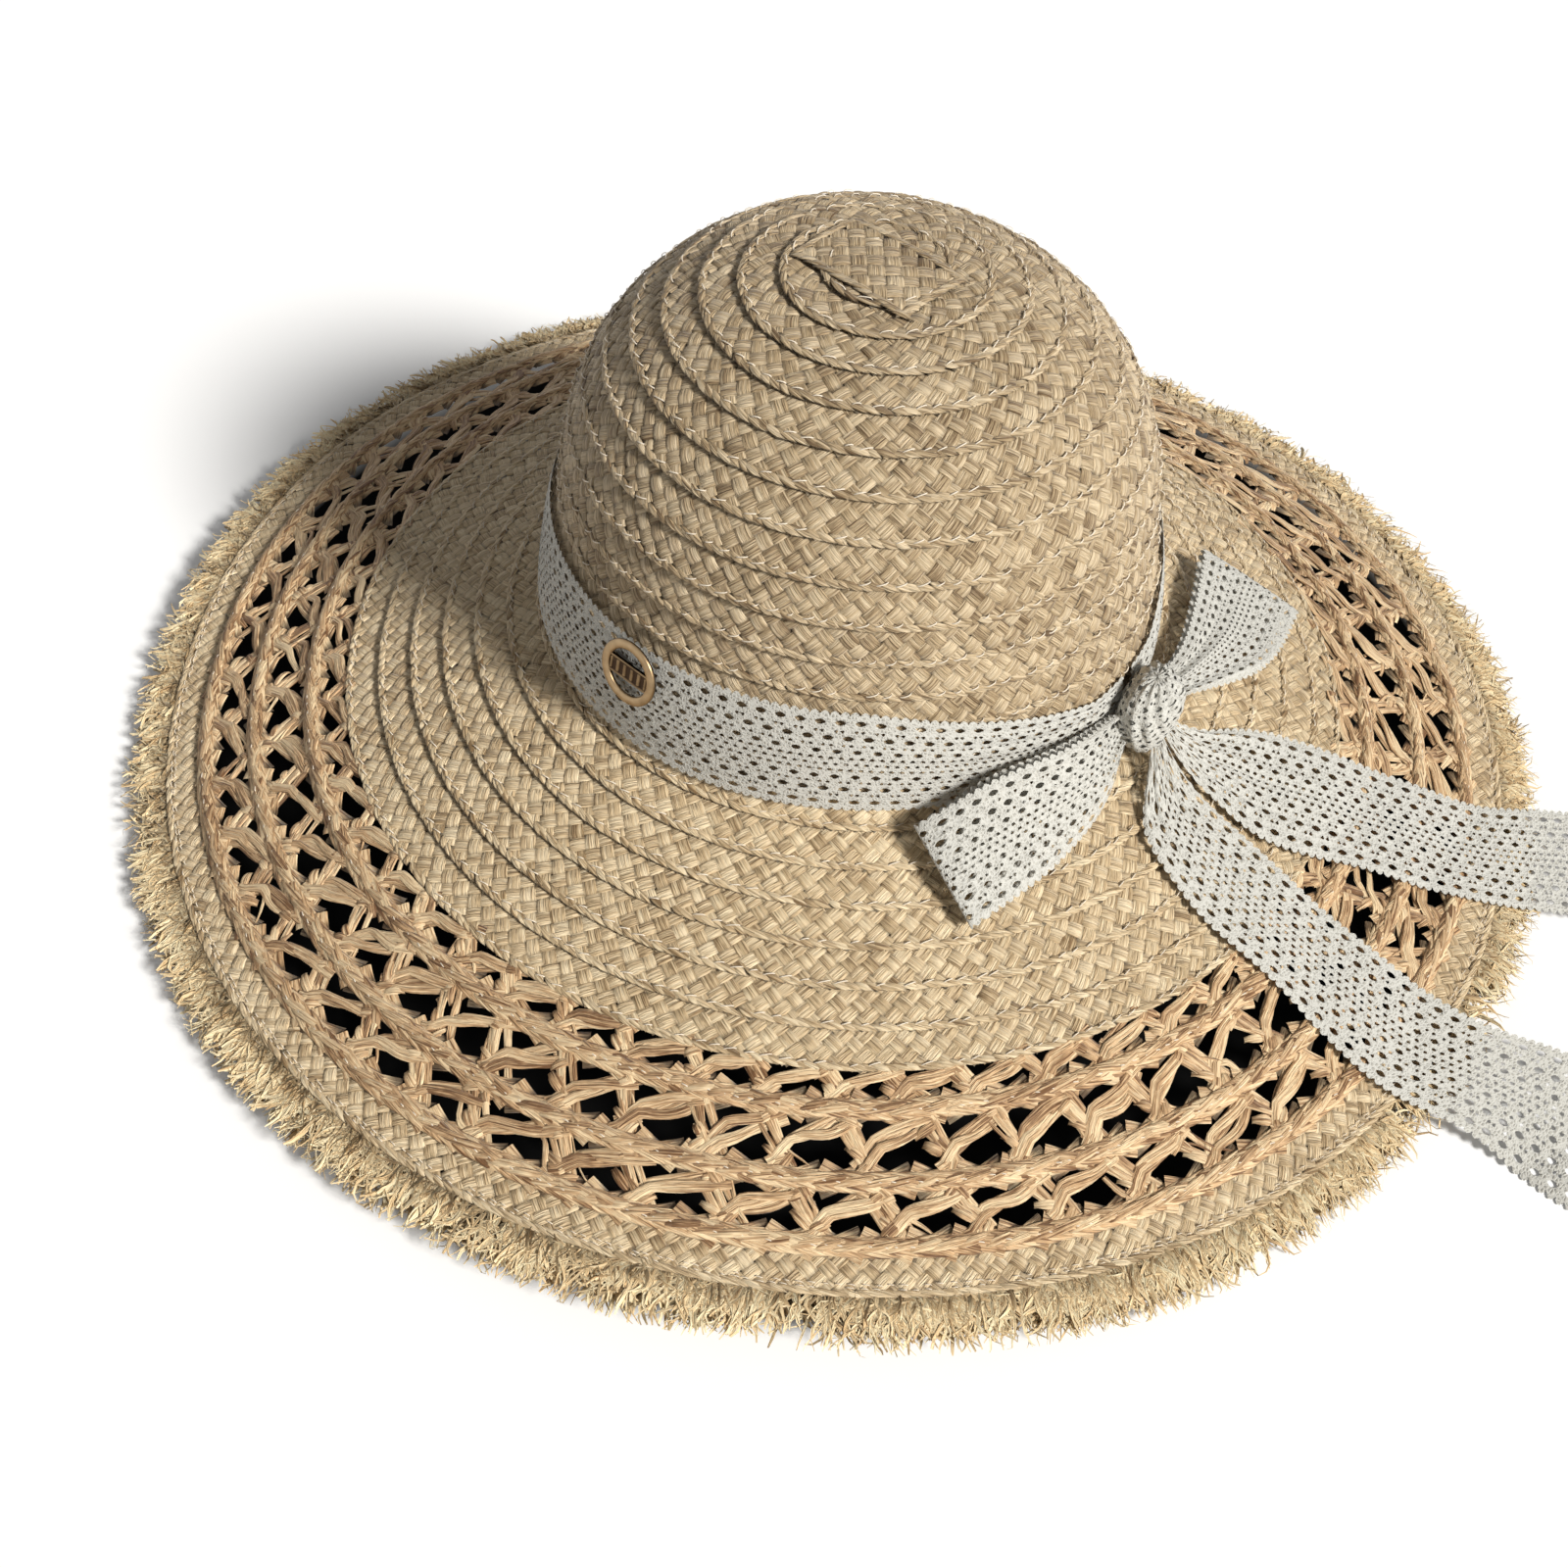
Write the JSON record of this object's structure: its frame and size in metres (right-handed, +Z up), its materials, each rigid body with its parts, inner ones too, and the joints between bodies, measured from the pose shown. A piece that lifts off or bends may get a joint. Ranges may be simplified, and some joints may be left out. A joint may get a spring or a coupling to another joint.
{
  "type": "straw sun hat",
  "caption": "Wide-brimmed straw sun hat of coiled plaited braid with openwork rows, frayed edge, lace ribbon bow and small ring badge",
  "frame": {"origin": "centre of the head opening, on the plane where the crown meets the brim", "axes": "+Z up through the crown's tip, +X to the wearer's left, through the side where the bow is tied, +Y to the back of the view the hat was drawn from"},
  "size_m": [0.5194, 0.4568, 0.1811],
  "materials": {
    "crown_straw": "matte plaited raffia straw, grey tan",
    "brim_straw": "matte plaited raffia straw, pale",
    "openwork_straw": "matte raffia strands, pinkish tan",
    "fringe_straw": "frayed raffia fibres, greenish gold",
    "thread": "pale sewing thread",
    "sweatband": "ribbed woven band",
    "lace": "white cotton lace ribbon",
    "badge": "antiqued brass"
  },
  "bodies": {
    "hat": {"badge": "badge", "bow_knot": "lace", "brim_braid_turn_01": "brim_straw", "brim_braid_turn_02": "brim_straw", "brim_braid_turn_03": "brim_straw", "brim_braid_turn_04": "brim_straw", "brim_braid_turn_05": "brim_straw", "brim_braid_turn_06": "brim_straw", "brim_braid_turn_07": "brim_straw", "crown_braid_turn_01": "crown_straw", "crown_braid_turn_02": "crown_straw", "crown_braid_turn_03": "crown_straw", "crown_braid_turn_04": "crown_straw", "crown_braid_turn_05": "crown_straw", "crown_braid_turn_06": "crown_straw", "crown_braid_turn_07": "crown_straw", "crown_braid_turn_08": "crown_straw", "crown_braid_turn_09": "crown_straw", "crown_braid_turn_10": "crown_straw", "crown_braid_turn_11": "crown_straw", "crown_braid_turn_12": "crown_straw", "crown_braid_turn_13": "crown_straw", "crown_braid_turn_14": "crown_straw", "crown_tip_patch": "crown_straw", "edge_braid": "brim_straw", "edge_seam_thread": "thread", "fringe": "fringe_straw", "lace_band": "lace", "openwork_row_1": "openwork_straw", "openwork_row_2": "openwork_straw", "openwork_row_3": "openwork_straw", "sewing_thread": "thread", "sweatband": "sweatband"},
    "front_loop": {"bow_loop_front": "lace"},
    "back_loop": {"bow_loop_back": "lace"},
    "front_tail": {"tail_front": "lace"},
    "back_tail": {"tail_back": "lace"}
  },
  "joints": [
    {"name": "front_tail_lift", "type": "hinge", "parent": "hat", "child": "front_tail", "pos_m": [0.0935, -0.0575, -0.0052], "axis": [-0.493, -0.87, 0], "range_deg": [0, 60]},
    {"name": "back_tail_lift", "type": "hinge", "parent": "hat", "child": "back_tail", "pos_m": [0.0935, -0.0575, -0.0052], "axis": [-0.493, -0.87, 0], "range_deg": [0, 60]},
    {"name": "front_loop_lift", "type": "hinge", "parent": "hat", "child": "front_loop", "pos_m": [0.078, -0.0618, 0.0134], "axis": [-0.7071, 0.7071, 0], "range_deg": [0, 25]},
    {"name": "back_loop_lift", "type": "hinge", "parent": "hat", "child": "back_loop", "pos_m": [0.0929, -0.0431, 0.0126], "axis": [0.8832, -0.4691, 0], "range_deg": [0, 25]}
  ]
}
